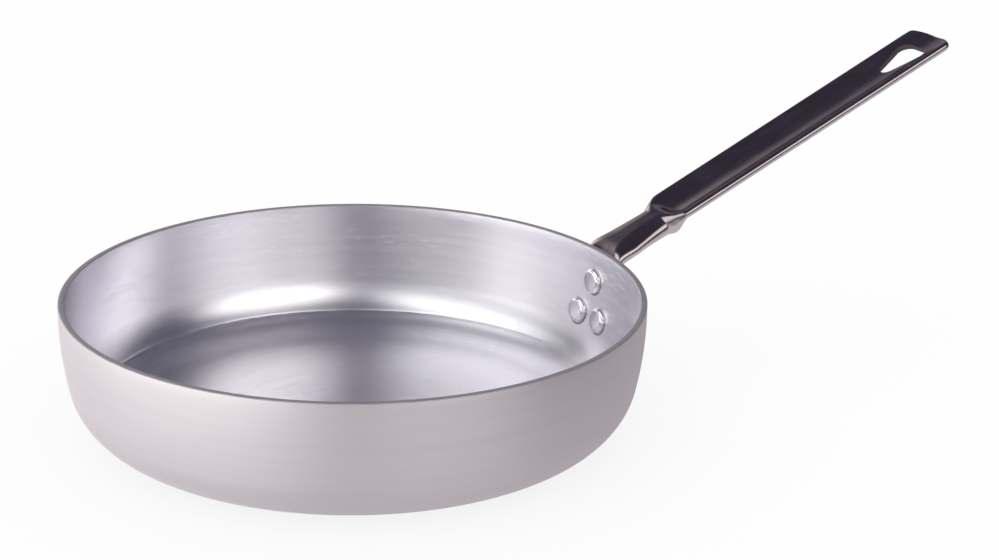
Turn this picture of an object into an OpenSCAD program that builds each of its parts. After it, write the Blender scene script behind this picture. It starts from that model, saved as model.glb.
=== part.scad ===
// Omelette pan: a spun aluminium bowl with a tubular steel handle on three solid rivets.
// Millimetres, +Z up, base underside at Z = 0, handle along +X.

/* [Pan body] */
// Outside diameter at the rim
rim_d = 280; // [200:1:340]
// Height from the base to the rim
pan_h = 65; // [60:0.5:90]
// Thickness of the aluminium, the same in the floor and the wall
wall_t = 3; // [1.5:0.1:5]
// Outside radius of the corner between the base and the wall
corner_r = 31.5; // [22:0.5:36]
// Lean of the wall from upright where it leaves the corner, in degrees
wall_lean = 12.5; // [8:0.5:18]
// Height of the upright band under the rim
rim_band = 4.6; // [2:0.1:10]
// Rounding of both rim edges
rim_round = 0.5; // [0.2:0.1:0.7]

/* [Handle tube] */
// Thickness of the steel sheet
sheet_t = 1.2; // [0.8:0.1:1.6]
// Gap left between the two walls where the tube is pressed flat
press_gap = 0.3; // [0.2:0.05:0.6]
// Upward tilt of the handle, in degrees
tilt = 22.9; // [10:0.1:30]
// Length from the bend above the rim to the tip
handle_l = 223.4; // [170:0.1:300]

/* [Handle flange] */
// Width of the flange at the lower rivets
flange_w = 38; // [34:0.5:48]
// Width of the tube where it bends over the rim
bend_w = 29; // [24:0.5:34]
// Corner radius at the lower end of the flange
flange_corner_r = 9; // [4:0.5:12]
// Flange left below the centres of the lower rivets
flange_edge = 10; // [8:0.5:16]
// How far the bend stands out from the wall
bend_out = 2.2; // [2:0.1:8]
// Height of the bend above the rim
bend_rise = 1.3; // [0.1:0.1:8]
// Distance over which the bend rounds
bend_round = 1.5; // [0.5:0.1:4]
// Distance past the bend at which the tube runs straight
bend_reach = 8; // [6:0.5:12]
// Reach of the curve under the bend
bend_inner = 4; // [2:0.5:6]

/* [Handle neck] */
// Width of the neck
neck_w = 22.8; // [18:0.1:28]
// Depth of the neck
neck_h = 10; // [8:0.1:16]
// Extra depth of the neck where it meets the shoulder
neck_swell = 1.4; // [0:0.1:4]
// Distance from the bend over which the tube fills out
neck_fill = 12; // [10:0.5:20]
// Length of the neck from the bend to the shoulder
neck_l = 31.5; // [30:0.5:60]
// Length of the shoulder between the neck and the grip
shoulder_l = 13; // [6:0.5:20]

/* [Handle grip] */
// Width of the grip at the shoulder
grip_w = 31.4; // [26:0.1:42]
// Width of the grip at the tip
tip_w = 32.7; // [26:0.1:42]
// Depth of the rolled sides of the grip
grip_h = 4.1; // [3.4:0.1:8]
// Depth of the dished top of the grip below its rolled sides
grip_dish = 2.8; // [1:0.1:3.5]
// How far the crown of the neck rises above the sides of the grip
neck_crown = 0.4; // [0:0.1:3]
// Radius of the curved end, seen from above
tip_r = 28; // [22:1:60]
// Length over which the end is rounded down at its rim
tip_edge = 2; // [1:0.1:4]

/* [Hanging hole] */
// Width of the wide end of the teardrop
hole_w = 19; // [12.5:0.1:22]
// Length of the teardrop
hole_l = 26.5; // [22:0.5:44]
// Corner radius of the wide end
hole_corner_r = 6; // [3:0.5:6]
// Radius of the point
hole_point_r = 4.5; // [1:0.5:5]
// Distance from the tip to the wide end of the hole
hole_edge = 13; // [6:0.5:20]

/* [Rivets] */
// Diameter of the rivet shanks
shank_d = 6; // [4:0.1:7]
// Diameter of the rivet heads
head_d = 13.2; // [10:0.1:14]
// Diameter of the flat on each head
head_flat_d = 8; // [5:0.1:9]
// Height of the heads inside the pan
head_h = 2.3; // [1.5:0.1:4]
// Height of the formed heads on the flange
tail_h = 2; // [1.5:0.1:3]
// Distance from the rim down to the top rivet
rivet_drop = 16.9; // [14:0.1:22]
// Distance from the top rivet down to the lower pair
rivet_row = 18; // [14:0.1:22]
// Distance between the two lower rivets, round the wall
rivet_pitch = 19.2; // [15:0.1:22]

/* [Fits] */
// Clearance between the flange and the wall of the pan
flange_gap = 0.2; // [0.05:0.05:0.5]
// Clearance of each shank in its holes, on the radius
shank_gap = 0.05; // [0.02:0.01:0.2]
// Clearance under each rivet head
head_gap = 0.03; // [0.01:0.01:0.2]

/* [Hidden] */
$fn = 96;

// Pan profile: flat base, corner arc, long wall arc, upright band
rim_r = rim_d / 2;
arc_top_z = pan_h - rim_band;
wall_arc_r = corner_r + (arc_top_z - corner_r) / sin(wall_lean);
base_r = rim_r - wall_arc_r + (wall_arc_r - corner_r) * cos(wall_lean);
arc_low_z = corner_r - corner_r * sin(wall_lean);

// Radius of the pan's surface at height z, moved inwards by inset
function wall_r(z, inset) =
    z >= arc_top_z ? rim_r - inset
    : z >= arc_low_z ? rim_r - wall_arc_r + sqrt(pow(wall_arc_r - inset, 2) - pow(arc_top_z - z, 2))
    : base_r + sqrt(max(0, pow(corner_r - inset, 2) - pow(corner_r - z, 2)));
// How far the wall's outward normal points below level at height z, in degrees
function wall_dip(z) =
    z >= arc_top_z ? 0
    : z >= arc_low_z ? asin((arc_top_z - z) / wall_arc_r)
    : asin((corner_r - z) / corner_r);

// Rivet places: height and angle round the wall
flange_t = 2 * sheet_t + press_gap;
rivet_hi_z = pan_h - rivet_drop;
rivet_lo_z = rivet_hi_z - rivet_row;
rivet_half_angle = asin(rivet_pitch / 2 / wall_r(rivet_lo_z, 0));

// Handle path seen from the side: the top curve faces the pan, then the cook
flange_lo_z = rivet_lo_z - flange_edge;
flange_hi_z = rivet_hi_z + head_d / 2;
bend_x = rim_r + flange_gap;
knee = [bend_x + bend_out, pan_h + bend_rise];
along = [cos(tilt), sin(tilt)];
below = [sin(tilt), -cos(tilt)];
grip_start = neck_l + shoulder_l;
// Share of the half width that is rounded: on the oval neck, and at most anywhere
neck_oval = 0.75;
round_most = 0.9;
// Share of the neck after which it deepens, and shares of the shoulder between which it flattens
swell_from = 0.4;
flat_from = 0.2;
flat_to = 0.85;
// Steepness of the shoulder where it leaves the neck
flare_power = 2;
// Length over which the end curves in, and sharpness of its two corners
tip_taper_l = pow(tip_w / 2, 2) / tip_r;
tip_corner = 14;
// Stations along the tube, points round it, and stations from the hollow's end to the grip
flange_steps = 8;
bend_steps = 12;
neck_steps = 7;
shoulder_steps = 9;
grip_steps = 10;
tip_steps = 9;
hollow_short = 2;
flat_pts = 8;
side_pts = 8;
ring_pts = 2 * (flat_pts + side_pts);
// Least height worth drawing
tiny = 0.01;

// Smooth step from 0 at a to 1 at b
function ease(a, b, t) = let (u = min(1, max(0, (t - a) / (b - a)))) u * u * (3 - 2 * u);
// Step from 0 at a to 1 at b that starts steep and ends smooth
function flare(a, b, t) = let (u = min(1, max(0, (t - a) / (b - a)))) 1 - pow(1 - u, flare_power);
function mix(a, b, t) = a + (b - a) * t;
function bezier(p, t) = pow(1 - t, 3) * p[0] + 3 * t * pow(1 - t, 2) * p[1]
    + 3 * t * t * (1 - t) * p[2] + pow(t, 3) * p[3];

// Sizes of the tube at distance d from the bend
function to_neck(d) = ease(-neck_fill, neck_fill, d);
function to_grip(d) = ease(neck_l, grip_start, d);
function to_wide(d) = flare(neck_l, grip_start, d);
function to_flat(d) = ease(neck_l + flat_from * shoulder_l, neck_l + flat_to * shoulder_l, d);
// The rolled sides thin down at the very end of the tip
function side_h(d) = let (u = max(0, 1 - (handle_l - d) / tip_edge)) mix(grip_h, grip_h / 2, u * u);
function depth_at(d) = mix(
    mix(flange_t, neck_h, to_neck(d)) + neck_swell * ease(swell_from * neck_l, neck_l, d),
    side_h(d), to_flat(d));
// Half the width inside the curved end, with its two corners rounded
function within_tip(half, d) = let (e = min(tip_r, handle_l - d), arc = sqrt(2 * tip_r * e - e * e))
    pow(pow(half, -tip_corner) + pow(arc, -tip_corner), -1 / tip_corner);
function full_half(d) = mix(mix(bend_w, neck_w, ease(0, neck_l, d)),
    mix(grip_w, tip_w, (d - grip_start) / (handle_l - grip_start)), to_wide(d)) / 2;
function half_at(d) = within_tip(full_half(d), d);
// Width of the rounding on each side, wide on the oval neck and tight where the tube is flat
function round_at(d) = let (h = half_at(d)) min(round_most * h,
    mix(mix(flange_t / 2, neck_oval * h, to_neck(d)), grip_h / 2, to_wide(d)));
// The pressed grip: its top is dished and its two walls meet in the middle
function dish_at(d) = to_flat(d) * grip_dish;
function belly_at(d) = to_flat(d) * (dish_at(d) + 2 * sheet_t - side_h(d));
// Points on the top and the bottom of the tube at distance d
function top_at(d) = knee + along * d - below * neck_crown * ease(0, neck_l, d) * (1 - to_grip(d))
    + below * to_grip(d) * (grip_h - side_h(d)) / 2;
function low_at(d) = top_at(d) + below * depth_at(d);

// One station of the tube: [top, bottom, half width, side rounding, bow, dish, belly, dish reach]
function flange_half(z) = mix(flange_w, bend_w, ease(rivet_lo_z, flange_hi_z, z)) / 2;
function flange_station(z, half) = [
    [wall_r(z, -flange_gap), z], [wall_r(z, -flange_gap - flange_t), z], half, flange_t / 2, 1, 0, 0, half];
function bend_station(t) = let (
    start = flange_station(flange_hi_z, bend_w / 2),
    end = [top_at(bend_reach), low_at(bend_reach)],
    top = bezier([start[0], [bend_x, knee[1] - bend_round], knee, end[0]], t),
    low = bezier([start[1], start[1] + [0, bend_inner], end[1] - along * bend_inner, end[1]], t))
    [top, low, mix(bend_w / 2, half_at(bend_reach), t), mix(flange_t / 2, round_at(bend_reach), t),
        1 - t, 0, 0, bend_w / 2];
function tube_station(d) = [top_at(d), low_at(d), half_at(d), round_at(d), 0, dish_at(d), belly_at(d),
    full_half(d) - min(round_at(d), grip_h / 2)];

// Stations from the lower end of the flange to the tip
flange_stations = concat(
    [for (a = [0 : 15 : 90]) flange_station(flange_lo_z + flange_corner_r * (1 - cos(a)),
        flange_w / 2 - flange_corner_r * (1 - sin(a)))],
    [for (i = [1 : flange_steps]) let (z = mix(flange_lo_z + flange_corner_r, flange_hi_z, i / flange_steps))
        flange_station(z, flange_half(z))]);
bend_stations = [for (i = [1 : bend_steps]) bend_station(i / bend_steps)];
neck_stations = concat(
    [for (i = [1 : neck_steps]) tube_station(mix(bend_reach, neck_l, i / neck_steps))],
    [for (i = [1 : shoulder_steps]) tube_station(neck_l + shoulder_l * i / shoulder_steps)]);
grip_stations = concat(
    [for (i = [1 : grip_steps]) tube_station(mix(grip_start, handle_l - tip_taper_l, i / grip_steps))],
    [for (i = [1 : tip_steps]) tube_station(handle_l - tip_taper_l * pow(1 - i / (tip_steps + 1), 2))]);
outer_stations = concat(flange_stations, bend_stations, neck_stations, grip_stations);
// The hollow runs from the open end of the flange into the shoulder
hollow_count = len(outer_stations) - len(grip_stations) - hollow_short;

// Outline of one station, inset by the sheet for the hollow
function ring(st, inset) = let (
    mid = (st[0] + st[1]) / 2,
    depth = norm(st[0] - st[1]),
    up = (st[0] - st[1]) / depth,
    v0 = depth / 2 - inset,
    flat = st[2] - st[3],
    side = st[3] - min(inset, round_most * st[3]),
    outline = concat(
        [for (i = [0 : flat_pts - 1]) [flat * (1 - 2 * i / flat_pts), v0]],
        [for (i = [0 : side_pts - 1]) let (a = 90 + 180 * i / side_pts) [-flat + side * cos(a), v0 * sin(a)]],
        [for (i = [0 : flat_pts - 1]) [-flat * (1 - 2 * i / flat_pts), -v0]],
        [for (i = [0 : side_pts - 1]) let (a = -90 + 180 * i / side_pts) [flat + side * cos(a), v0 * sin(a)]]))
    [for (p = outline) let (
        sag = max(0, 1 - pow(p[0] / st[7], 2)),
        v = p[1] - sag * mix(st[6], st[5], (1 + p[1] / v0) / 2)
            + st[4] * (st[0][0] - sqrt(pow(st[0][0], 2) - pow(p[0], 2))))
        [mid[0] + up[0] * v, p[0], mid[1] + up[1] * v]];

// Strip of triangles that closes a ring, each point joined to the one across from it
function cap(first) = let (n = ring_pts, across = 2 * flat_pts + side_pts)
    [for (k = [-side_pts / 2 : flat_pts + side_pts / 2 - 1]) let (
        a = (n + k) % n, b = (n + k + 1) % n, c = (n + across - k - 1) % n, d = (n + across - k) % n)
        each [if (b != c) [first + a, first + b, first + c], if (a != d) [first + a, first + c, first + d]]];

// Closed tube: the outer skin, the hollow's skin and the open end between them
module tube_solid() {
    outer = [for (st = outer_stations) ring(st, 0)];
    inner = [for (i = [0 : hollow_count - 1]) ring(outer_stations[i], sheet_t)];
    n = ring_pts;
    first = n * len(outer);
    skin = [for (s = [0 : len(outer) - 2], i = [0 : n - 1]) let (j = (i + 1) % n)
        each [[s * n + i, (s + 1) * n + j, s * n + j], [s * n + i, (s + 1) * n + i, (s + 1) * n + j]]];
    lining = [for (s = [0 : hollow_count - 2], i = [0 : n - 1]) let (j = (i + 1) % n, b = first + s * n)
        each [[b + i, b + j, b + n + j], [b + i, b + n + j, b + n + i]]];
    mouth = [for (i = [0 : n - 1]) let (j = (i + 1) % n)
        each [[i, j, first + j], [i, first + j, first + i]]];
    tip = [for (f = cap(first - n)) [f[2], f[1], f[0]]];
    blind = cap(first + (hollow_count - 1) * n);
    polyhedron(points = concat([for (r = outer) each r], [for (r = inner) each r]),
        faces = concat(skin, lining, mouth, tip, blind));
}

// Teardrop in the plane of the grip, its point towards the pan, its wide end at X = 0
module teardrop() {
    hull() {
        for (side = [-1, 1]) translate([-hole_corner_r, side * (hole_w / 2 - hole_corner_r)])
            circle(r = hole_corner_r, $fn = 64);
        translate([-hole_l + hole_point_r, 0]) circle(r = hole_point_r, $fn = 64);
    }
}

// Puts a child on a rivet axis: +Z outwards, Z = 0 on the outside of the pan's wall
module on_rivet(z, angle) {
    rotate([0, 0, angle]) translate([wall_r(z, 0), 0, z]) rotate([0, 90 + wall_dip(z), 0]) children();
}

module rivet_bore(z, angle) {
    on_rivet(z, angle) translate([0, 0, -3 * wall_t])
        cylinder(r = shank_d / 2 + shank_gap, h = 6 * wall_t + flange_t);
}

module all_bores() {
    rivet_bore(rivet_hi_z, 0);
    for (side = [-1, 1]) rivet_bore(rivet_lo_z, side * rivet_half_angle);
}

// How far the curved wall rises under the rim of an inner rivet head
function head_seat(z) = let (
    dip = wall_dip(z), n = [cos(dip), -sin(dip)], reach = head_d / 2,
    c = [wall_r(z, 0), z] - n * wall_t,
    lo = c[1] - reach * cos(dip), hi = c[1] + reach * cos(dip),
    across = c[0] - sqrt(pow(c[0], 2) - pow(reach, 2)))
    max(across, (c - [wall_r(lo, wall_t), lo]) * n, (c - [wall_r(hi, wall_t), hi]) * n) + head_gap;

// Half profile of a head: a flat face with a rounded side
module head_profile(h) {
    edge = min((head_d - head_flat_d) / 2, h);
    square([head_d / 2 - edge, h]);
    if (h - edge > tiny) square([head_d / 2, h - edge]);
    translate([head_d / 2 - edge, h - edge]) intersection() {
        circle(r = edge);
        square(edge);
    }
}

module rivet(z) {
    seat = wall_t + head_seat(z);
    clamp = flange_gap + flange_t + head_gap;
    rotate_extrude() {
        translate([0, -seat]) mirror([0, 1]) head_profile(head_h);
        translate([0, -seat - head_h / 2]) square([shank_d / 2, seat + clamp + (head_h + tail_h) / 2]);
        translate([0, clamp]) head_profile(tail_h);
    }
}

// Half section of the pan's outside, moved inwards by inset
module bowl_profile(inset) {
    translate([0, inset]) square([base_r, pan_h]);
    intersection() {
        translate([base_r, corner_r]) circle(r = corner_r - inset);
        square([rim_r, arc_low_z]);
    }
    intersection() {
        translate([rim_r - wall_arc_r, arc_top_z]) circle(r = wall_arc_r - inset, $fn = 4 * $fn);
        translate([0, arc_low_z]) square([rim_r, arc_top_z - arc_low_z]);
    }
    translate([0, arc_top_z]) square([rim_r - inset, pan_h]);
}

// Removes a square corner down to its rounding; flip is 1 on the outer edge and -1 on the inner
module rim_corner(x, flip) {
    translate([x, pan_h]) scale([flip, 1]) difference() {
        translate([-rim_round, -rim_round]) square(2 * rim_round);
        translate([-rim_round, -rim_round]) circle(r = rim_round);
        translate([-2 * rim_round, -2 * rim_round]) square([rim_round, 3 * rim_round]);
    }
}

module pan_body() {
    color([0.78, 0.77, 0.80]) difference() {
        rotate_extrude($fn = 2 * $fn) difference() {
            intersection() {
                bowl_profile(0);
                square([rim_r, pan_h]);
            }
            bowl_profile(wall_t);
            rim_corner(rim_r, 1);
            rim_corner(rim_r - wall_t, -1);
        }
        all_bores();
    }
}

module handle() {
    color([0.33, 0.29, 0.32]) difference() {
        tube_solid();
        all_bores();
        translate([knee[0], 0, knee[1]]) rotate([0, -tilt, 0])
            translate([handle_l - hole_edge, 0, -neck_h]) linear_extrude(2 * neck_h) teardrop();
    }
}

module rivet_top() {
    color([0.80, 0.79, 0.82]) on_rivet(rivet_hi_z, 0) rivet(rivet_hi_z);
}

module rivet_lower_left() {
    color([0.80, 0.79, 0.82]) on_rivet(rivet_lo_z, rivet_half_angle) rivet(rivet_lo_z);
}

module rivet_lower_right() {
    color([0.80, 0.79, 0.82]) on_rivet(rivet_lo_z, -rivet_half_angle) rivet(rivet_lo_z);
}

pan_body();
handle();
rivet_top();
rivet_lower_left();
rivet_lower_right();
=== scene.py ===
"""Omelette pan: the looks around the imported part, in metres, in the part's own frame."""
import math

import bmesh
import bpy
from mathutils import Matrix, Vector


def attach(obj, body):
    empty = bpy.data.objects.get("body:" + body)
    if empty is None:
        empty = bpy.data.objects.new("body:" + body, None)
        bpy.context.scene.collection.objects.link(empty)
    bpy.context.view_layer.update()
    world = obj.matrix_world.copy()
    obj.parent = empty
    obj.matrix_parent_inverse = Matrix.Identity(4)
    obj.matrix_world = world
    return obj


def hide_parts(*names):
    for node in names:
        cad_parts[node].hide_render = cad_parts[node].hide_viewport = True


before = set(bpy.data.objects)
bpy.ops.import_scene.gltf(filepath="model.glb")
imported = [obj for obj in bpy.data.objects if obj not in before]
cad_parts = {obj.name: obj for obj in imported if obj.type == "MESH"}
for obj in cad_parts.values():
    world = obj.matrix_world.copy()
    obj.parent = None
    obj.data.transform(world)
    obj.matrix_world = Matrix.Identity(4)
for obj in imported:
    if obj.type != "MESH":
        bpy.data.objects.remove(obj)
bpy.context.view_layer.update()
MM = 0.001
QUARTER = math.pi / 2

# Camera: where it stands, the point it looks at, its roll, lens and sensor width
CAMERA_PLACE = Vector((-0.57246, -1.08119, 0.50467))
CAMERA_AIM = Vector((0.07120, -0.01622, 0.06500))
CAMERA_ROLL = math.radians(0.969)
CAMERA_LENS = 97.963
CAMERA_SENSOR = 36.0
# Heading of the view, from +Y towards +X: the studio's lights are placed round it
VIEW_HEADING = math.radians(27.9)

# Soft lights that the metal reflects: azimuth and elevation in degrees, width, height, strength and tint
LIGHTS = [
    (76, 0, 1.32, 0.40, 3.6, (1.0, 0.98, 0.95, 1)),
    (65, 49, 0.86, 0.38, 1.85, (1.0, 1.0, 0.98, 1)),
    (-40, 34, 0.68, 0.40, 2.2, (1.0, 0.98, 0.95, 1)),
    (5, 25, 0.80, 0.50, 0.26, (1.0, 0.98, 1.0, 1)),
    (-175, 14, 0.55, 0.42, 0.17, (1.0, 0.90, 0.92, 1)),
    (146, 0, 0.50, 0.75, 1.7, (1.0, 0.92, 0.88, 1)),
]
# Depth of each light's soft oval, the share of it that is evenly bright, and what lies between the lights
LIGHT_DEPTH = 1.3
LIGHT_EVEN = 0.4
STUDIO_DARK = (0.085, 0.080, 0.120, 1)
# Floor as the metal reflects it: partly matt, and glowing, brighter on the camera's left than on its right.
# The blend reaches this far each way, in metres, and the glow is this share of it.
FLOOR_IN_METAL = (0.68, 0.64, 0.665, 1)
FLOOR_LEFT = (0.80, 0.76, 0.79, 1)
FLOOR_RIGHT = (0.46, 0.42, 0.445, 1)
FLOOR_BLEND = 0.45
FLOOR_GLOW = 0.8
# Floor as the camera sees it: its colour, and how much of it glows instead of taking the pan's shadow
FLOOR_SEEN = (0.97, 0.97, 0.97, 1)
FLOOR_SEEN_GLOW = 0.82
FLOOR_R = 8.0
WHITE = (1, 1, 1, 1)

# Colours that each finish varies between, its roughness from least to most, and its relief's strength and depth in mm
INSIDE_DARK = (0.82, 0.81, 0.85, 1)
INSIDE_LIGHT = (0.85, 0.84, 0.875, 1)
INSIDE_ROUGH = (0.285, 0.32)
INSIDE_RELIEF = (0.08, 0.1)
OUTSIDE_DARK = (0.80, 0.775, 0.79, 1)
OUTSIDE_LIGHT = (0.825, 0.80, 0.815, 1)
OUTSIDE_ROUGH = (0.385, 0.415)
OUTSIDE_RELIEF = (0.07, 0.1)
# The rim's dark grey is painted shade on its top edge; the filing streaks between the two tones and the roughness are
# its finish
RIM_DARK = (0.41, 0.39, 0.425, 1)
RIM_LIGHT = (0.49, 0.47, 0.50, 1)
RIM_ROUGH = (0.42, 0.52)
RIM_RELIEF = (0.15, 0.1)
STEEL_DARK = (0.31, 0.26, 0.272, 1)
STEEL_LIGHT = (0.37, 0.32, 0.33, 1)
STEEL_ROUGH = (0.12, 0.19)
STEEL_RELIEF = (0.05, 0.2)
CUT_DARK = (0.10, 0.08, 0.085, 1)
CUT_LIGHT = (0.22, 0.18, 0.19, 1)
CUT_ROUGH = (0.4, 0.55)
CUT_RELIEF = (0.2, 0.2)
RIVET_DARK = (0.78, 0.765, 0.80, 1)
RIVET_LIGHT = (0.82, 0.81, 0.83, 1)
RIVET_ROUGH = (0.19, 0.26)
RIVET_RELIEF = (0.08, 0.6)

# Streaks round the pan: reach in radians, size along the section in mm, and detail
FINE_INSIDE = (0.6, 0.35, 3.0)
WIDE_INSIDE = (0.9, 4.0, 2.0)
RUB_PATCHES = (0.35, 9.0, 2.0)
RUBS = (0.06, 0.7, 3.0)
SCUFFS = (0.035, 0.5, 3.0)
FINE_OUTSIDE = (0.8, 0.3, 3.0)
WIDE_OUTSIDE = (0.7, 5.0, 2.0)
FILING = (0.05, 0.25, 3.0)
# Noise on the steel and the rivets: stretch of the smears along the grip, and scales of grain, punch marks and dents
SMEAR_STRETCH = (12.0, 160.0, 160.0)
GRAIN_SCALE = 1400.0
PUNCH_SCALE = 900.0
DENT_SCALE = 320.0
# Levels of its noise between which a finish or a mark goes from one end to the other
NOISE_SPAN = (0.3, 0.7)
PATCH_SPAN = (0.47, 0.60)
RUB_SPAN = (0.54, 0.66)
SCUFF_SPAN = (0.54, 0.62)
RIM_TONE_SPAN = (0.35, 0.65)
SMEAR_TONE_SPAN = (0.4, 0.7)
SMEAR_ROUGH_SPAN = (0.35, 0.75)
RIVET_TONE_SPAN = (0.35, 0.7)

# Marks inside the pan: reach of the scuffs round the ring in mm, and the worn metal's colour and roughness
SCUFF_REACH = 2.5
RUB_STRENGTH = 0.7
WORN_COLOR = (0.95, 0.94, 0.96, 1)
WORN_ROUGH = 0.16
WORN_RELIEF = 0.8
# Painted shade in the gap round each rivet head: how far it shows beyond the head and starts under it, in mm
SEAM_W = 0.7
SEAM_UNDER = 0.5
SEAM_SHADE_COLOR = (0.11, 0.10, 0.12, 1)
# Painted light on the tube's sides that face down, standing in for the floor's reflection: its colour, roughness,
# grain, and the rise of the normal it spans
STEEL_UNDERSIDE_SHEEN = (0.85, 0.815, 0.81, 1)
UNDERSIDE_ROUGH = 0.12
UNDERSIDE_GRAIN = 0.4
UNDERSIDE_FROM = 0.20
UNDERSIDE_FULL = -0.12

# Pan, in millimetres
RIM_R = 140.0
PAN_H = 65.0
WALL_T = 3.0
CORNER_R = 31.5
WALL_LEAN = math.radians(12.5)
RIM_BAND = 4.6
RIM_ROUND = 0.5
# Fine line turned into the inner corner
RING_R = 125.0
RING_W = 0.4
RING_DEPTH = 0.065

# Handle, in millimetres: sheet, gap between the flange's pressed walls, tilt and length
SHEET_T = 1.2
PRESS_GAP = 0.3
TILT = math.radians(22.9)
HANDLE_L = 223.4
# Flange behind the wall, and bend over the rim
FLANGE_W = 38.0
FLANGE_CORNER_R = 9.0
FLANGE_EDGE = 10.0
BEND_W = 29.0
BEND_OUT = 2.2
BEND_RISE = 1.3
BEND_ROUND = 1.5
BEND_REACH = 8.0
BEND_INNER = 4.0
# Neck and shoulder: the neck fills out, swells from a share of its length, and has a low crown
NECK_W = 22.8
NECK_H = 10.0
NECK_L = 31.5
NECK_FILL = 12.0
NECK_SWELL = 1.4
SWELL_FROM = 0.4
NECK_CROWN = 0.4
SHOULDER_L = 13.0
# Grip and its curved tip
GRIP_W = 31.4
GRIP_H = 4.1
GRIP_DISH = 2.8
TIP_W = 32.7
TIP_R = 28.0
TIP_EDGE = 2.0
# Shares of the half width that roundings take, shares of the shoulder between which it flattens, how steeply the
# shoulder flares, and how square the tip's corners are
NECK_OVAL = 0.75
ROUND_MOST = 0.9
FLAT_FROM = 0.2
FLAT_TO = 0.85
FLARE_POWER = 2.0
TIP_CORNER = 14.0
# Hanging hole: a teardrop, its wide end towards the tip
HOLE_W = 19.0
HOLE_L = 26.5
HOLE_CORNER_R = 6.0
HOLE_POINT_R = 4.5
HOLE_EDGE = 13.0

# Rivets and fits, in millimetres
SHANK_R = 3.0
HEAD_R = 6.6
HEAD_H = 2.3
TAIL_H = 2.0
RIVET_DROP = 16.9
RIVET_ROW = 18.0
RIVET_PITCH = 19.2
FLANGE_GAP = 0.2
SHANK_GAP = 0.05
HEAD_GAP = 0.03

# Fineness of the meshes: segments round an axis, and steps along each arc or stretch
PAN_SEGMENTS = 256
RIVET_SEGMENTS = 64
RIVET_HOLE_SEGMENTS = 48
TEARDROP_SEGMENTS = 96
FLOOR_SEGMENTS = 96
OUTER_CORNER_STEPS = 20
WALL_STEPS = 18
RIM_STEPS = 4
INNER_CORNER_STEPS = 14
FLOOR_EDGE_STEPS = 10
HEAD_STEPS = 10
FLANGE_END_STEPS = 9
FLANGE_STEPS = 20
BEND_STEPS = 24
NECK_STEPS = 22
SHOULDER_STEPS = 30
GRIP_STEPS = 70
TIP_STEPS = 22
# The last station stops the square of this, as a share of the tip's taper, short of the end
TIP_CLOSE = 0.1
# Stations before the grip at which the hollow ends
HOLLOW_SHORT = 7
# Points across each flat side and round each rolled side of the tube
FLAT_PTS = 26
SIDE_PTS = 16
# How far a cutter reaches each way and the shortest edge that a cut may leave, in mm, and the least sharp angle
CUT_REACH = 12.0
SLIVER = 0.002
SHARP_ANGLE = math.radians(40)

# Worked out from the sizes above
FLANGE_T = 2 * SHEET_T + PRESS_GAP
ARC_TOP_Z = PAN_H - RIM_BAND
WALL_ARC_R = CORNER_R + (ARC_TOP_Z - CORNER_R) / math.sin(WALL_LEAN)
BASE_R = RIM_R - WALL_ARC_R + (WALL_ARC_R - CORNER_R) * math.cos(WALL_LEAN)
ARC_LOW_Z = CORNER_R - CORNER_R * math.sin(WALL_LEAN)
RIVET_HI_Z = PAN_H - RIVET_DROP
RIVET_LO_Z = RIVET_HI_Z - RIVET_ROW
FLANGE_LO_Z = RIVET_LO_Z - FLANGE_EDGE
FLANGE_HI_Z = RIVET_HI_Z + HEAD_R
BEND_X = RIM_R + FLANGE_GAP
KNEE = Vector((BEND_X + BEND_OUT, PAN_H + BEND_RISE))
ALONG = Vector((math.cos(TILT), math.sin(TILT)))
BELOW = Vector((math.sin(TILT), -math.cos(TILT)))
GRIP_START = NECK_L + SHOULDER_L
TIP_TAPER_L = (TIP_W / 2) ** 2 / TIP_R


def make_camera():
    """A camera at the photograph's place, with the image's width across the sensor."""
    data = bpy.data.cameras.new("camera")
    data.lens = CAMERA_LENS
    data.sensor_width = CAMERA_SENSOR
    data.sensor_fit = "HORIZONTAL"
    camera = bpy.data.objects.new("camera", data)
    bpy.context.scene.collection.objects.link(camera)
    aim = (CAMERA_AIM - CAMERA_PLACE).to_track_quat("-Z", "Y").to_matrix().to_4x4()
    camera.matrix_world = Matrix.Translation(CAMERA_PLACE) @ aim @ Matrix.Rotation(CAMERA_ROLL, 4, "Z")
    bpy.context.scene.camera = camera


class Nodes:
    """A node tree with short calls to add and link nodes."""

    def __init__(self, tree):
        self.tree = tree
        tree.nodes.clear()

    def add(self, kind, inputs=None, **settings):
        node = self.tree.nodes.new(kind)
        for key, value in settings.items():
            setattr(node, key, value)
        for key, value in (inputs or {}).items():
            if isinstance(value, bpy.types.NodeSocket):
                self.tree.links.new(value, node.inputs[key])
            else:
                node.inputs[key].default_value = value
        return node

    def math(self, operation, a, b=0.0):
        return self.add("ShaderNodeMath", {0: a, 1: b}, operation=operation).outputs[0]

    def step(self, value, low, high, to_low=0.0, to_high=1.0):
        """A smooth step of value between low and high, onto to_low and to_high."""
        node = self.add("ShaderNodeMapRange", {"Value": value, "From Min": low, "From Max": high,
                                               "To Min": to_low, "To Max": to_high},
                        interpolation_type="SMOOTHSTEP")
        return node.outputs["Result"]

    def mix_color(self, factor, a, b):
        node = self.add("ShaderNodeMix", {"Factor": factor, "A": a, "B": b}, data_type="RGBA")
        return node.outputs["Result"]


def mesh_object(name, points, faces):
    """A new object from points in millimetres and faces."""
    mesh = bpy.data.meshes.new(name)
    mesh.from_pydata([[c * MM for c in p] for p in points], [], faces)
    mesh.update()
    obj = bpy.data.objects.new(name, mesh)
    bpy.context.scene.collection.objects.link(obj)
    return obj


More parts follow.
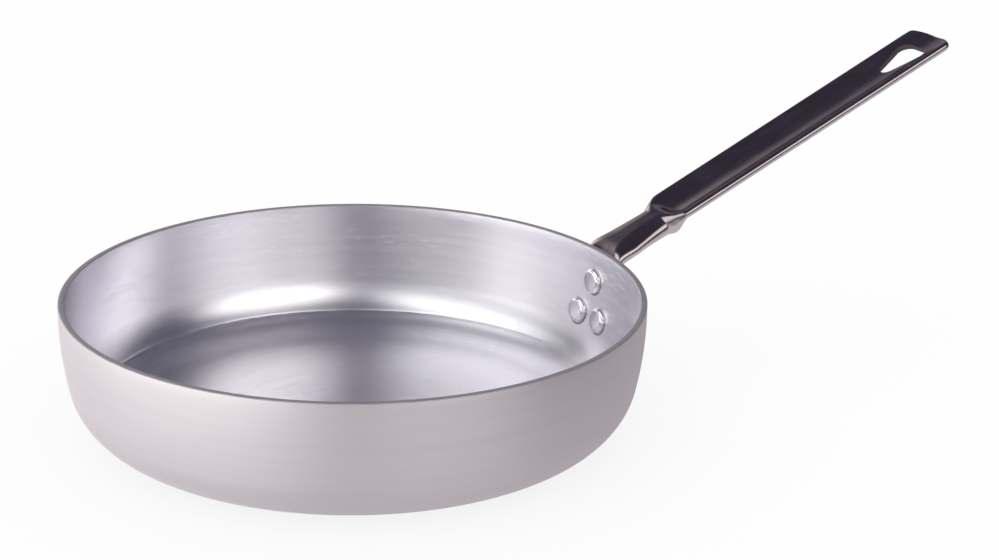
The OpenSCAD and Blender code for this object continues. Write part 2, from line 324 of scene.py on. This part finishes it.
def lathe(name, profile, segments):
    """Turns a profile of (radius, height) round +Z. Points on the axis become one vertex."""
    points, rows = [], []
    for r, z in profile:
        if r < 1e-6:
            rows.append([len(points)] * segments)
            points.append((0.0, 0.0, z))
            continue
        rows.append(range(len(points), len(points) + segments))
        for i in range(segments):
            a = 2 * math.pi * i / segments
            points.append((r * math.cos(a), r * math.sin(a), z))
    faces = []
    for low, high in zip(rows, rows[1:]):
        for i in range(segments):
            j = (i + 1) % segments
            face = [low[i], low[j], high[j], high[i]]
            faces.append([v for k, v in enumerate(face) if v not in face[:k]])
    return mesh_object(name, points, faces)


def arc(cx, cz, r, start, end, steps):
    """Points on an arc, from start to end in radians, both ends included."""
    angles = [start + (end - start) * i / steps for i in range(steps + 1)]
    return [(cx + r * math.cos(a), cz + r * math.sin(a)) for a in angles]


def wall_r(z, inset=0.0):
    """Radius of the pan's surface at height z, moved inwards by inset."""
    if z >= ARC_TOP_Z:
        return RIM_R - inset
    if z >= ARC_LOW_Z:
        return RIM_R - WALL_ARC_R + math.sqrt((WALL_ARC_R - inset) ** 2 - (ARC_TOP_Z - z) ** 2)
    return BASE_R + math.sqrt((CORNER_R - inset) ** 2 - (CORNER_R - z) ** 2)


def wall_dip(z):
    """How far the wall's outward normal points below level at height z."""
    return math.asin((ARC_TOP_Z - z) / WALL_ARC_R)


def cut(obj, cutters):
    """Cuts the cutters out of obj, clears the slivers that this leaves, and deletes the cutters."""
    for cutter in cutters:
        modifier = obj.modifiers.new("cut", "BOOLEAN")
        modifier.operation = "DIFFERENCE"
        modifier.solver = "EXACT"
        modifier.material_mode = "TRANSFER"
        modifier.object = cutter
    bpy.context.view_layer.update()
    graph = bpy.context.evaluated_depsgraph_get()
    mesh = bpy.data.meshes.new_from_object(obj.evaluated_get(graph))
    slivers = bmesh.new()
    slivers.from_mesh(mesh)
    bmesh.ops.dissolve_degenerate(slivers, dist=SLIVER * MM, edges=slivers.edges)
    slivers.to_mesh(mesh)
    slivers.free()
    obj.modifiers.clear()
    obj.data = mesh
    mesh.name = obj.name
    for cutter in cutters:
        bpy.data.objects.remove(cutter)


def smooth(obj):
    """Smooth shading, with sharp edges kept as edges."""
    obj.data.shade_smooth()
    obj.data.set_sharp_from_angle(angle=SHARP_ANGLE)


def on_rivet(z, angle):
    """Turns and moves a piece made round +Z to a rivet's axis, with its origin on the wall's outside."""
    return (Matrix.Rotation(angle, 4, "Z") @ Matrix.Translation((wall_r(z) * MM, 0, z * MM))
            @ Matrix.Rotation(QUARTER + wall_dip(z), 4, "Y"))


RIVET_HALF_ANGLE = math.asin(RIVET_PITCH / 2 / wall_r(RIVET_LO_Z))
RIVETS = {
    "rivet_top": (RIVET_HI_Z, 0.0),
    "rivet_lower_left": (RIVET_LO_Z, RIVET_HALF_ANGLE),
    "rivet_lower_right": (RIVET_LO_Z, -RIVET_HALF_ANGLE),
}


def rivet_cutters():
    """One cylinder through the wall and the flange at each rivet."""
    cutters = []
    for z, angle in RIVETS.values():
        r = SHANK_R + SHANK_GAP
        outline = [(0, -CUT_REACH), (r, -CUT_REACH), (r, CUT_REACH), (0, CUT_REACH)]
        cutter = lathe("cutter", outline, RIVET_HOLE_SEGMENTS)
        cutter.data.transform(on_rivet(z, angle))
        cutters.append(cutter)
    return cutters


def pan_outside():
    """Half section of the outside, from the middle of the base up to the rim."""
    points = [(0.0, 0.0), (BASE_R / 2, 0.0)]
    points += arc(BASE_R, CORNER_R, CORNER_R, -QUARTER, -WALL_LEAN, OUTER_CORNER_STEPS)
    points += arc(RIM_R - WALL_ARC_R, ARC_TOP_Z, WALL_ARC_R, -WALL_LEAN, 0, WALL_STEPS)[1:]
    return points


def pan_rim():
    """Half section of the rim, with both its edges rounded."""
    top = PAN_H - RIM_ROUND
    points = arc(RIM_R - RIM_ROUND, top, RIM_ROUND, 0, QUARTER, RIM_STEPS)
    points += arc(RIM_R - WALL_T + RIM_ROUND, top, RIM_ROUND, QUARTER, 2 * QUARTER, RIM_STEPS)
    return points


def pan_inside():
    """Half section of the inside, from the rim down to the middle, with the fine line turned into the corner."""
    inner = CORNER_R - WALL_T
    groove = inner + RING_DEPTH
    ring_angle = -math.acos((RING_R - BASE_R) / inner)
    half = RING_W / 2 / inner
    points = arc(RIM_R - WALL_ARC_R, ARC_TOP_Z, WALL_ARC_R - WALL_T, 0, -WALL_LEAN, WALL_STEPS)
    points += arc(BASE_R, CORNER_R, inner, -WALL_LEAN, ring_angle + half, INNER_CORNER_STEPS)[1:]
    points.append((BASE_R + groove * math.cos(ring_angle), CORNER_R + groove * math.sin(ring_angle)))
    points += arc(BASE_R, CORNER_R, inner, ring_angle - half, -QUARTER, FLOOR_EDGE_STEPS)
    points += [(BASE_R / 2, WALL_T), (0.0, WALL_T)]
    return points


def make_pan():
    """The spun bowl, turned from its section, with its rivet holes."""
    pan = lathe("pan_shell", pan_outside() + pan_rim() + pan_inside(), PAN_SEGMENTS)
    pan.data.materials.append(spun_outside())
    pan.data.materials.append(spun_inside())
    pan.data.materials.append(dull_rim_painted_shade())
    for face in pan.data.polygons:
        x, y, z = face.center / MM
        inside = z > WALL_T / 2 and math.hypot(x, y) < wall_r(min(z, ARC_TOP_Z), WALL_T / 2)
        face.material_index = 2 if z > PAN_H - RIM_ROUND else int(inside)
    cut(pan, rivet_cutters())
    smooth(pan)
    return pan


def ease(a, b, t):
    """Smooth step from 0 at a to 1 at b."""
    u = min(1.0, max(0.0, (t - a) / (b - a)))
    return u * u * (3 - 2 * u)


def flare(a, b, t):
    """Step from 0 at a to 1 at b that starts steep and ends smooth."""
    u = min(1.0, max(0.0, (t - a) / (b - a)))
    return 1 - (1 - u) ** FLARE_POWER


def mix(a, b, t):
    """Way from a to b, of which t is the share gone."""
    return a + (b - a) * t


def bezier(p, t):
    """Point on the cubic curve of four points p."""
    s = 1 - t
    return p[0] * s ** 3 + p[1] * (3 * t * s * s) + p[2] * (3 * t * t * s) + p[3] * t ** 3


def to_neck(d):
    """How far the flat tube has become the neck, at distance d from the bend along the handle."""
    return ease(-NECK_FILL, NECK_FILL, d)


def to_grip(d):
    """How far the neck has become the grip."""
    return ease(NECK_L, GRIP_START, d)


def to_wide(d):
    """How far the shoulder has widened, steeply at first."""
    return flare(NECK_L, GRIP_START, d)


def to_flat(d):
    """How far the shoulder has been pressed flat."""
    return ease(NECK_L + FLAT_FROM * SHOULDER_L, NECK_L + FLAT_TO * SHOULDER_L, d)


def side_h(d):
    """Depth of the rolled sides, which thin down at the very end of the tip."""
    u = max(0.0, 1 - (HANDLE_L - d) / TIP_EDGE)
    return mix(GRIP_H, GRIP_H / 2, u * u)


def depth_at(d):
    """Depth of the tube between its top and its underside."""
    neck = mix(FLANGE_T, NECK_H, to_neck(d)) + NECK_SWELL * ease(SWELL_FROM * NECK_L, NECK_L, d)
    return mix(neck, side_h(d), to_flat(d))


def full_half(d):
    """Half the width, without the tip's curved end."""
    neck = mix(BEND_W, NECK_W, ease(0, NECK_L, d))
    grip = mix(GRIP_W, TIP_W, (d - GRIP_START) / (HANDLE_L - GRIP_START))
    return mix(neck, grip, to_wide(d)) / 2


def half_at(d):
    """Half the width at distance d, inside the curved end with its two rounded corners."""
    e = min(TIP_R, HANDLE_L - d)
    end = math.sqrt(2 * TIP_R * e - e * e)
    return (full_half(d) ** -TIP_CORNER + end ** -TIP_CORNER) ** (-1 / TIP_CORNER)


def round_at(d):
    """Width of the rounding on each side, wide on the oval neck and tight where the tube is flat."""
    h = half_at(d)
    neck = mix(FLANGE_T / 2, NECK_OVAL * h, to_neck(d))
    return min(ROUND_MOST * h, mix(neck, GRIP_H / 2, to_wide(d)))


def top_at(d):
    """Middle of the tube's top, crowned on the neck and lower where the tip's sides thin down."""
    crown = NECK_CROWN * ease(0, NECK_L, d) * (1 - to_grip(d))
    return KNEE + ALONG * d - BELOW * crown + BELOW * (to_grip(d) * (GRIP_H - side_h(d)) / 2)


def low_at(d):
    """Middle of the tube's underside."""
    return top_at(d) + BELOW * depth_at(d)


def flange_station(z, half):
    """Top, bottom, half width, side rounding, bow, dish, belly and dish reach of the flange at height z."""
    top = Vector((wall_r(z, -FLANGE_GAP), z))
    low = Vector((wall_r(z, -FLANGE_GAP - FLANGE_T), z))
    return top, low, half, FLANGE_T / 2, 1.0, 0.0, 0.0, half


def bend_station(t):
    """Station on the bend over the rim, from the flange at 0 to the tube at 1."""
    start = flange_station(FLANGE_HI_Z, BEND_W / 2)
    end = top_at(BEND_REACH), low_at(BEND_REACH)
    top = bezier([start[0], Vector((BEND_X, KNEE[1] - BEND_ROUND)), KNEE, end[0]], t)
    low = bezier([start[1], start[1] + Vector((0, BEND_INNER)), end[1] - ALONG * BEND_INNER, end[1]], t)
    half = mix(BEND_W / 2, half_at(BEND_REACH), t)
    return top, low, half, mix(FLANGE_T / 2, round_at(BEND_REACH), t), 1 - t, 0.0, 0.0, BEND_W / 2


def tube_station(d):
    """Station on the neck, the shoulder or the grip, at distance d."""
    dish = to_flat(d) * GRIP_DISH
    belly = to_flat(d) * (dish + 2 * SHEET_T - side_h(d))
    reach = full_half(d) - min(round_at(d), GRIP_H / 2)
    return top_at(d), low_at(d), half_at(d), round_at(d), 0.0, dish, belly, reach


def handle_stations():
    """Stations from the lower end of the flange to the tip, and how many of them are hollow."""
    stations = []
    for i in range(FLANGE_END_STEPS + 1):
        a = QUARTER * i / FLANGE_END_STEPS
        stations.append(flange_station(FLANGE_LO_Z + FLANGE_CORNER_R * (1 - math.cos(a)),
                                       FLANGE_W / 2 - FLANGE_CORNER_R * (1 - math.sin(a))))
    for i in range(1, FLANGE_STEPS + 1):
        z = mix(FLANGE_LO_Z + FLANGE_CORNER_R, FLANGE_HI_Z, i / FLANGE_STEPS)
        half = mix(FLANGE_W, BEND_W, ease(RIVET_LO_Z, FLANGE_HI_Z, z)) / 2
        stations.append(flange_station(z, half))
    stations += [bend_station(i / BEND_STEPS) for i in range(1, BEND_STEPS + 1)]
    stations += [tube_station(mix(BEND_REACH, NECK_L, i / NECK_STEPS)) for i in range(1, NECK_STEPS + 1)]
    stations += [tube_station(NECK_L + SHOULDER_L * i / SHOULDER_STEPS) for i in range(1, SHOULDER_STEPS + 1)]
    hollow = len(stations) - HOLLOW_SHORT
    stations += [tube_station(mix(GRIP_START, HANDLE_L - TIP_TAPER_L, i / GRIP_STEPS))
                 for i in range(1, GRIP_STEPS + 1)]
    stations += [tube_station(HANDLE_L - TIP_TAPER_L * mix(1, TIP_CLOSE, i / TIP_STEPS) ** 2)
                 for i in range(1, TIP_STEPS + 1)]
    return stations, hollow


def ring(station, inset):
    """Outline of one station, inset by the sheet for the hollow."""
    top, low, half, rounding, bow, dish, belly, reach = station
    middle = (top + low) / 2
    depth = (top - low).length
    up = (top - low) / depth
    v0 = depth / 2 - inset
    flat = half - rounding
    side = rounding - min(inset, ROUND_MOST * rounding)
    outline = [(flat * (1 - 2 * i / FLAT_PTS), v0) for i in range(FLAT_PTS)]
    for i in range(SIDE_PTS):
        a = math.pi * (0.5 + i / SIDE_PTS)
        outline.append((-flat + side * math.cos(a), v0 * math.sin(a)))
    outline += [(-flat * (1 - 2 * i / FLAT_PTS), -v0) for i in range(FLAT_PTS)]
    for i in range(SIDE_PTS):
        a = math.pi * (-0.5 + i / SIDE_PTS)
        outline.append((flat + side * math.cos(a), v0 * math.sin(a)))
    points = []
    for u, v in outline:
        sag = max(0.0, 1 - (u / reach) ** 2)
        w = v - sag * mix(belly, dish, (1 + v / v0) / 2) + bow * (top[0] - math.sqrt(top[0] ** 2 - u ** 2))
        points.append((middle[0] + up[0] * w, u, middle[1] + up[1] * w))
    return points


def cap(first):
    """Strip of faces that closes a ring, each point joined to the one across from it."""
    n = 2 * (FLAT_PTS + SIDE_PTS)
    across = 2 * FLAT_PTS + SIDE_PTS
    faces = []
    for k in range(-SIDE_PTS // 2, FLAT_PTS + SIDE_PTS // 2):
        face = [first + i % n for i in (k, k + 1, across - k - 1, across - k)]
        faces.append([v for j, v in enumerate(face) if v not in face[:j]])
    return faces


def teardrop_cutter():
    """The hanging hole as a solid: a teardrop with a round point, square to the grip."""
    circles = [(-HOLE_CORNER_R, s * (HOLE_W / 2 - HOLE_CORNER_R), HOLE_CORNER_R) for s in (-1, 1)]
    circles.append((-HOLE_L + HOLE_POINT_R, 0.0, HOLE_POINT_R))
    cloud = bmesh.new()
    for x, y, r in circles:
        for i in range(TEARDROP_SEGMENTS):
            a = 2 * math.pi * i / TEARDROP_SEGMENTS
            for z in (-CUT_REACH, CUT_REACH):
                cloud.verts.new((x + r * math.cos(a), y + r * math.sin(a), z))
    bmesh.ops.convex_hull(cloud, input=cloud.verts)
    loose = [v for v in cloud.verts if not v.link_faces]
    bmesh.ops.delete(cloud, geom=loose, context="VERTS")
    bmesh.ops.dissolve_limit(cloud, angle_limit=0.001, verts=cloud.verts, edges=cloud.edges)
    bmesh.ops.recalc_face_normals(cloud, faces=cloud.faces)
    mesh = bpy.data.meshes.new("cutter")
    cloud.to_mesh(mesh)
    cloud.free()
    place = (Matrix.Translation((KNEE[0] * MM, 0, KNEE[1] * MM)) @ Matrix.Rotation(-TILT, 4, "Y")
             @ Matrix.Translation(((HANDLE_L - HOLE_EDGE) * MM, 0, 0)) @ Matrix.Scale(MM, 4))
    mesh.transform(place)
    obj = bpy.data.objects.new("cutter", mesh)
    bpy.context.scene.collection.objects.link(obj)
    return obj


def make_handle():
    """The flattened steel tube, hollow from the flange's open end into the shoulder."""
    stations, hollow = handle_stations()
    outer = [ring(s, 0.0) for s in stations]
    inner = [ring(s, SHEET_T) for s in stations[:hollow]]
    n = len(outer[0])
    first = n * len(outer)
    faces = []
    for s in range(len(outer) - 1):
        for i in range(n):
            j = (i + 1) % n
            faces.append([s * n + i, (s + 1) * n + i, (s + 1) * n + j, s * n + j])
    for s in range(hollow - 1):
        for i in range(n):
            j, b = (i + 1) % n, first + s * n
            faces.append([b + i, b + j, b + n + j, b + n + i])
    for i in range(n):
        j = (i + 1) % n
        faces.append([i, j, first + j, first + i])
    faces += [face[::-1] for face in cap(first - n)]
    faces += cap(first + (hollow - 1) * n)
    handle = mesh_object("handle_tube", [p for r in outer + inner for p in r], faces)
    handle.data.materials.append(polished_steel())
    punch = teardrop_cutter()
    punch.data.materials.append(cut_steel())
    cut(handle, rivet_cutters() + [punch])
    smooth(handle)
    return handle


def head_seat(z):
    """How far the flat underside of an inner rivet head stands off the middle of the wall's curve."""
    dip = wall_dip(z)
    normal = Vector((math.cos(dip), -math.sin(dip)))
    middle = Vector((wall_r(z), z)) - normal * WALL_T
    reach = HEAD_R * math.cos(dip)
    across = middle[0] - math.sqrt(middle[0] ** 2 - HEAD_R ** 2)
    rises = [(middle - Vector((wall_r(h, WALL_T), h))).dot(normal) for h in (middle[1] - reach, middle[1] + reach)]
    return max(across, *rises) + HEAD_GAP


def make_rivet(name, z, angle):
    """A solid rivet: a flat head with a rounded side inside, a lower formed head outside."""
    seat = WALL_T + head_seat(z)
    clamp = FLANGE_GAP + FLANGE_T + HEAD_GAP
    profile = [(0.0, -seat - HEAD_H)]
    profile += arc(HEAD_R - HEAD_H, -seat, HEAD_H, -QUARTER, 0, HEAD_STEPS)
    profile += [(SHANK_R, -seat), (SHANK_R, clamp), (HEAD_R, clamp)]
    profile += arc(HEAD_R - TAIL_H, clamp, TAIL_H, 0, QUARTER, HEAD_STEPS)[1:]
    profile += [(0.0, clamp + TAIL_H)]
    rivet = lathe(name + "_turned", profile, RIVET_SEGMENTS)
    rivet.data.transform(on_rivet(z, angle))
    smooth(rivet)
    return rivet


def principled(name, **inputs):
    """A material with one Principled shader, and its node tree to add to."""
    material = bpy.data.materials.new(name)
    material.use_nodes = True
    nodes = Nodes(material.node_tree)
    shader = nodes.add("ShaderNodeBsdfPrincipled", {k.replace("_", " "): v for k, v in inputs.items()})
    nodes.add("ShaderNodeOutputMaterial", {"Surface": shader.outputs[0]})
    return material, nodes, shader


def finish(nodes, shader, tone, rough, relief, strength, depth):
    """Gives the shader its colour, roughness and relief. The relief's depth is in millimetres."""
    bump = nodes.add("ShaderNodeBump", {"Height": relief, "Strength": strength, "Distance": depth * MM})
    for value, name in ((tone, "Base Color"), (rough, "Roughness"), (bump.outputs[0], "Normal")):
        nodes.tree.links.new(value, shader.inputs[name])


def lathe_marks(nodes):
    """Coordinates of a turned sheet: its way along the section in mm, the heading round the axis and the place."""
    place = nodes.add("ShaderNodeNewGeometry").outputs["Position"]
    parts = nodes.add("ShaderNodeSeparateXYZ", {0: place})
    flat = nodes.add("ShaderNodeCombineXYZ", {0: parts.outputs[0], 1: parts.outputs[1]})
    radius = nodes.add("ShaderNodeVectorMath", {0: flat.outputs[0]}, operation="LENGTH").outputs["Value"]
    heading = nodes.add("ShaderNodeVectorMath", {0: flat.outputs[0]}, operation="NORMALIZE").outputs[0]
    along = nodes.math("MULTIPLY", nodes.math("ADD", radius, parts.outputs[2]), 1000.0)
    return along, heading, place


def streaks(nodes, along, heading, length, width, detail):
    """Noise drawn out round the axis: length is its reach in radians, width its size along the section in mm."""
    stretched = nodes.add("ShaderNodeVectorMath", {0: heading, "Scale": 1 / length}, operation="SCALE")
    rise = nodes.add("ShaderNodeCombineXYZ", {2: nodes.math("MULTIPLY", along, 1 / width)})
    place = nodes.add("ShaderNodeVectorMath", {0: stretched.outputs[0], 1: rise.outputs[0]}, operation="ADD")
    return nodes.add("ShaderNodeTexNoise", {"Vector": place.outputs[0], "Scale": 1.0, "Detail": detail},
                     noise_dimensions="3D").outputs["Fac"]


def turned_tangent(nodes, shader):
    """Draws the reflections out across the rings that turning leaves, a quarter turn from the tangent."""
    tangent = nodes.add("ShaderNodeTangent", direction_type="RADIAL", axis="Z")
    nodes.tree.links.new(tangent.outputs[0], shader.inputs["Tangent"])
    shader.inputs["Anisotropic Rotation"].default_value = 0.25


def painted_seam_shade(nodes, place):
    """Painted shade in the gap where each rivet head meets the wall: 1 on the seam, 0 elsewhere."""
    seams = None
    for z, angle in RIVETS.values():
        r = wall_r(z, WALL_T)
        middle = (r * MM * math.cos(angle), r * MM * math.sin(angle), z * MM)
        far = nodes.add("ShaderNodeVectorMath", {0: place, 1: middle}, operation="DISTANCE").outputs["Value"]
        seam = nodes.math("MULTIPLY", nodes.step(far, (HEAD_R - SEAM_UNDER) * MM, HEAD_R * MM),
                          nodes.step(far, (HEAD_R + SEAM_W) * MM, HEAD_R * MM))
        seams = nodes.math("MAXIMUM", seams, seam) if seams else seam
    return seams


def worn_marks(nodes, along, heading):
    """Rubbed marks in patches and scuffs along the ring: 1 where the metal is worn, 0 elsewhere."""
    patches = nodes.step(streaks(nodes, along, heading, *RUB_PATCHES), *PATCH_SPAN)
    rubs = nodes.math("MULTIPLY", nodes.step(streaks(nodes, along, heading, *RUBS), *RUB_SPAN), patches)
    ring_along = RING_R + CORNER_R - math.sqrt((CORNER_R - WALL_T) ** 2 - (RING_R - BASE_R) ** 2)
    near_ring = nodes.step(nodes.math("ABSOLUTE", nodes.math("SUBTRACT", along, ring_along)), SCUFF_REACH, 0.0)
    scuffs = nodes.math("MULTIPLY", nodes.step(streaks(nodes, along, heading, *SCUFFS), *SCUFF_SPAN), near_ring)
    return nodes.math("MAXIMUM", nodes.math("MULTIPLY", rubs, RUB_STRENGTH), scuffs)


def spun_inside():
    """Inside of the pan: satin polished aluminium with faint rings, rubbed marks and scuffs along the corner, and
    painted shade round the rivet heads.
    """
    material, nodes, shader = principled("spun_aluminium_inside", Metallic=1.0, Anisotropic=0.75)
    turned_tangent(nodes, shader)
    along, heading, place = lathe_marks(nodes)
    fine = streaks(nodes, along, heading, *FINE_INSIDE)
    wide = streaks(nodes, along, heading, *WIDE_INSIDE)
    worn = worn_marks(nodes, along, heading)
    tone = nodes.mix_color(nodes.step(wide, *NOISE_SPAN), INSIDE_DARK, INSIDE_LIGHT)
    tone = nodes.mix_color(worn, tone, WORN_COLOR)
    # Painted shade: the colour darkens in a thin ring round each rivet head, where the gap's shade falls
    tone = nodes.mix_color(painted_seam_shade(nodes, place), tone, SEAM_SHADE_COLOR)
    rough = nodes.step(wide, *NOISE_SPAN, *INSIDE_ROUGH)
    rough = nodes.math("ADD", rough, nodes.math("MULTIPLY", worn, WORN_ROUGH))
    relief = nodes.math("ADD", fine, nodes.math("MULTIPLY", worn, WORN_RELIEF))
    finish(nodes, shader, tone, rough, relief, *INSIDE_RELIEF)
    return material


def spun_outside():
    """Outside of the pan: the same aluminium, more finely and more mattly turned."""
    material, nodes, shader = principled("spun_aluminium_outside", Metallic=1.0, Anisotropic=0.85)
    turned_tangent(nodes, shader)
    along, heading, _ = lathe_marks(nodes)
    fine = streaks(nodes, along, heading, *FINE_OUTSIDE)
    wide = streaks(nodes, along, heading, *WIDE_OUTSIDE)
    tone = nodes.mix_color(nodes.step(wide, *NOISE_SPAN), OUTSIDE_DARK, OUTSIDE_LIGHT)
    finish(nodes, shader, tone, nodes.step(wide, *NOISE_SPAN, *OUTSIDE_ROUGH), fine, *OUTSIDE_RELIEF)
    return material


def dull_rim_painted_shade():
    """The cut edge of the rim, filed smooth and left dull; its dark grey colour is painted shade."""
    material, nodes, shader = principled("dull_rim_painted_shade", Metallic=0.7)
    along, heading, _ = lathe_marks(nodes)
    filed = streaks(nodes, along, heading, *FILING)
    tone = nodes.mix_color(nodes.step(filed, *RIM_TONE_SPAN), RIM_DARK, RIM_LIGHT)
    finish(nodes, shader, tone, nodes.step(filed, *NOISE_SPAN, *RIM_ROUGH), filed, *RIM_RELIEF)
    return material


def polished_steel():
    """Polished steel, dark on top with faint smears, with a painted lighter reflection and more roughness on the
    sides that face down.
    """
    material, nodes, shader = principled("polished_steel", Metallic=1.0)
    coords = nodes.add("ShaderNodeTexCoord")
    place = coords.outputs["Object"]
    turned = nodes.add("ShaderNodeMapping", {"Vector": place, "Rotation": (0.0, TILT, 0.0), "Scale": SMEAR_STRETCH})
    smear = nodes.add("ShaderNodeTexNoise", {"Vector": turned.outputs[0], "Scale": 1.0, "Detail": 3.0})
    grain = nodes.add("ShaderNodeTexNoise", {"Vector": place, "Scale": GRAIN_SCALE, "Detail": 2.0})
    rise = nodes.add("ShaderNodeSeparateXYZ", {0: coords.outputs["Normal"]}).outputs[2]
    # Painted reflection: the sides that face down get a lighter colour that stands in for the floor they reflect
    rough_edge = nodes.math("MULTIPLY", nodes.math("SUBTRACT", grain.outputs["Fac"], 0.5), UNDERSIDE_GRAIN)
    painted_underside = nodes.step(nodes.math("ADD", rise, rough_edge), UNDERSIDE_FROM, UNDERSIDE_FULL)
    tone = nodes.mix_color(nodes.step(smear.outputs["Fac"], *SMEAR_TONE_SPAN), STEEL_DARK, STEEL_LIGHT)
    tone = nodes.mix_color(painted_underside, tone, STEEL_UNDERSIDE_SHEEN)
    rough = nodes.step(smear.outputs["Fac"], *SMEAR_ROUGH_SPAN, *STEEL_ROUGH)
    rough = nodes.math("ADD", rough, nodes.math("MULTIPLY", painted_underside, UNDERSIDE_ROUGH))
    finish(nodes, shader, tone, rough, grain.outputs["Fac"], *STEEL_RELIEF)
    return material


def cut_steel():
    """The hole's punched edge: the same steel, left dull."""
    material, nodes, shader = principled("cut_steel", Metallic=1.0)
    place = nodes.add("ShaderNodeTexCoord").outputs["Object"]
    noise = nodes.add("ShaderNodeTexNoise", {"Vector": place, "Scale": PUNCH_SCALE, "Detail": 3.0})
    marks = noise.outputs["Fac"]
    tone = nodes.mix_color(marks, CUT_DARK, CUT_LIGHT)
    finish(nodes, shader, tone, nodes.step(marks, *NOISE_SPAN, *CUT_ROUGH), marks, *CUT_RELIEF)
    return material


def rivet_aluminium():
    """Pressed aluminium: bright, with small dents from the setting tool."""
    material, nodes, shader = principled("rivet_aluminium", Metallic=1.0)
    place = nodes.add("ShaderNodeTexCoord").outputs["Object"]
    noise = nodes.add("ShaderNodeTexNoise", {"Vector": place, "Scale": DENT_SCALE, "Detail": 2.0})
    dents = noise.outputs["Fac"]
    tone = nodes.mix_color(nodes.step(dents, *RIVET_TONE_SPAN), RIVET_DARK, RIVET_LIGHT)
    finish(nodes, shader, tone, nodes.step(dents, *NOISE_SPAN, *RIVET_ROUGH), dents, *RIVET_RELIEF)
    return material


def soft_light(nodes, direction, azimuth, elevation, width, height, strength):
    """A soft oval light in the sky, as a grey level. Azimuth 0 is over the camera, 90 on its left."""
    a = math.radians(azimuth) + VIEW_HEADING + math.pi
    e = math.radians(elevation)
    middle = Vector((math.sin(a) * math.cos(e), math.cos(a) * math.cos(e), math.sin(e)))
    side = Vector((-math.cos(a), math.sin(a), 0))
    turn = Matrix((side, middle.cross(side), middle)).transposed().to_euler()
    local = nodes.add("ShaderNodeMapping", {"Vector": direction, "Location": middle, "Rotation": turn,
                                            "Scale": (width, height, LIGHT_DEPTH)}, vector_type="TEXTURE")
    far = nodes.add("ShaderNodeVectorMath", {0: local.outputs[0]}, operation="LENGTH").outputs["Value"]
    return nodes.step(far, LIGHT_EVEN, 1.0, strength, 0.0)


def make_world():
    """White behind the object, plain light on the floor, and soft lights in what the metal reflects."""
    world = bpy.data.worlds.new("studio")
    bpy.context.scene.world = world
    world.use_nodes = True
    world.cycles.sampling_method = "NONE"
    nodes = Nodes(world.node_tree)
    path = nodes.add("ShaderNodeLightPath")
    direction = nodes.add("ShaderNodeTexCoord").outputs["Generated"]
    color = nodes.add("ShaderNodeRGB").outputs[0]
    color.default_value = STUDIO_DARK
    for azimuth, elevation, width, height, strength, tint in LIGHTS:
        level = soft_light(nodes, direction, azimuth, elevation, width, height, strength)
        glow = nodes.add("ShaderNodeMix", {"Factor": 1.0, "A": level, "B": tint},
                         data_type="RGBA", blend_type="MULTIPLY").outputs["Result"]
        color = nodes.add("ShaderNodeMix", {"Factor": 1.0, "A": color, "B": glow},
                          data_type="RGBA", blend_type="ADD").outputs["Result"]
    color = nodes.mix_color(path.outputs["Is Diffuse Ray"], color, WHITE)
    color = nodes.mix_color(path.outputs["Is Camera Ray"], color, WHITE)
    background = nodes.add("ShaderNodeBackground", {"Color": color, "Strength": 1.0})
    nodes.add("ShaderNodeOutputWorld", {"Surface": background.outputs[0]})


def make_floor():
    """A pale floor, white to the camera, that keeps a faint shadow and is light grey in the metal."""
    bpy.ops.mesh.primitive_circle_add(vertices=FLOOR_SEGMENTS, radius=FLOOR_R, fill_type="NGON")
    floor = bpy.context.object
    floor.name = "floor"
    material = bpy.data.materials.new("floor")
    material.use_nodes = True
    nodes = Nodes(material.node_tree)
    path = nodes.add("ShaderNodeLightPath")
    seen = path.outputs["Is Camera Ray"]
    matt = nodes.add("ShaderNodeBsdfDiffuse", {"Color": nodes.mix_color(seen, FLOOR_IN_METAL, FLOOR_SEEN)})
    place = nodes.add("ShaderNodeNewGeometry").outputs["Position"]
    right = (math.cos(VIEW_HEADING), -math.sin(VIEW_HEADING), 0)
    across = nodes.add("ShaderNodeVectorMath", {0: place, 1: right}, operation="DOT_PRODUCT").outputs["Value"]
    level = nodes.mix_color(nodes.step(across, -FLOOR_BLEND, FLOOR_BLEND), FLOOR_LEFT, FLOOR_RIGHT)
    glow = nodes.add("ShaderNodeEmission", {"Color": nodes.mix_color(seen, level, WHITE), "Strength": 1.0})
    share = nodes.math("ADD", nodes.math("MULTIPLY", seen, FLOOR_SEEN_GLOW),
                       nodes.math("MULTIPLY", path.outputs["Is Glossy Ray"], FLOOR_GLOW))
    both = nodes.add("ShaderNodeMixShader", {0: share, 1: matt.outputs[0], 2: glow.outputs[0]})
    nodes.add("ShaderNodeOutputMaterial", {"Surface": both.outputs[0]})
    floor.data.materials.append(material)


make_camera()
bpy.context.scene.view_settings.view_transform = "Standard"
make_world()
make_floor()

rivet_metal = rivet_aluminium()

pan = make_pan()
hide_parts("pan_body")
handle = make_handle()
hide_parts("handle")
dressed = [pan, handle]
for rivet_name, (rivet_z, rivet_angle) in RIVETS.items():
    rivet = make_rivet(rivet_name, rivet_z, rivet_angle)
    rivet.data.materials.append(rivet_metal)
    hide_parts(rivet_name)
    dressed.append(rivet)
for piece in dressed:
    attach(piece, "root")
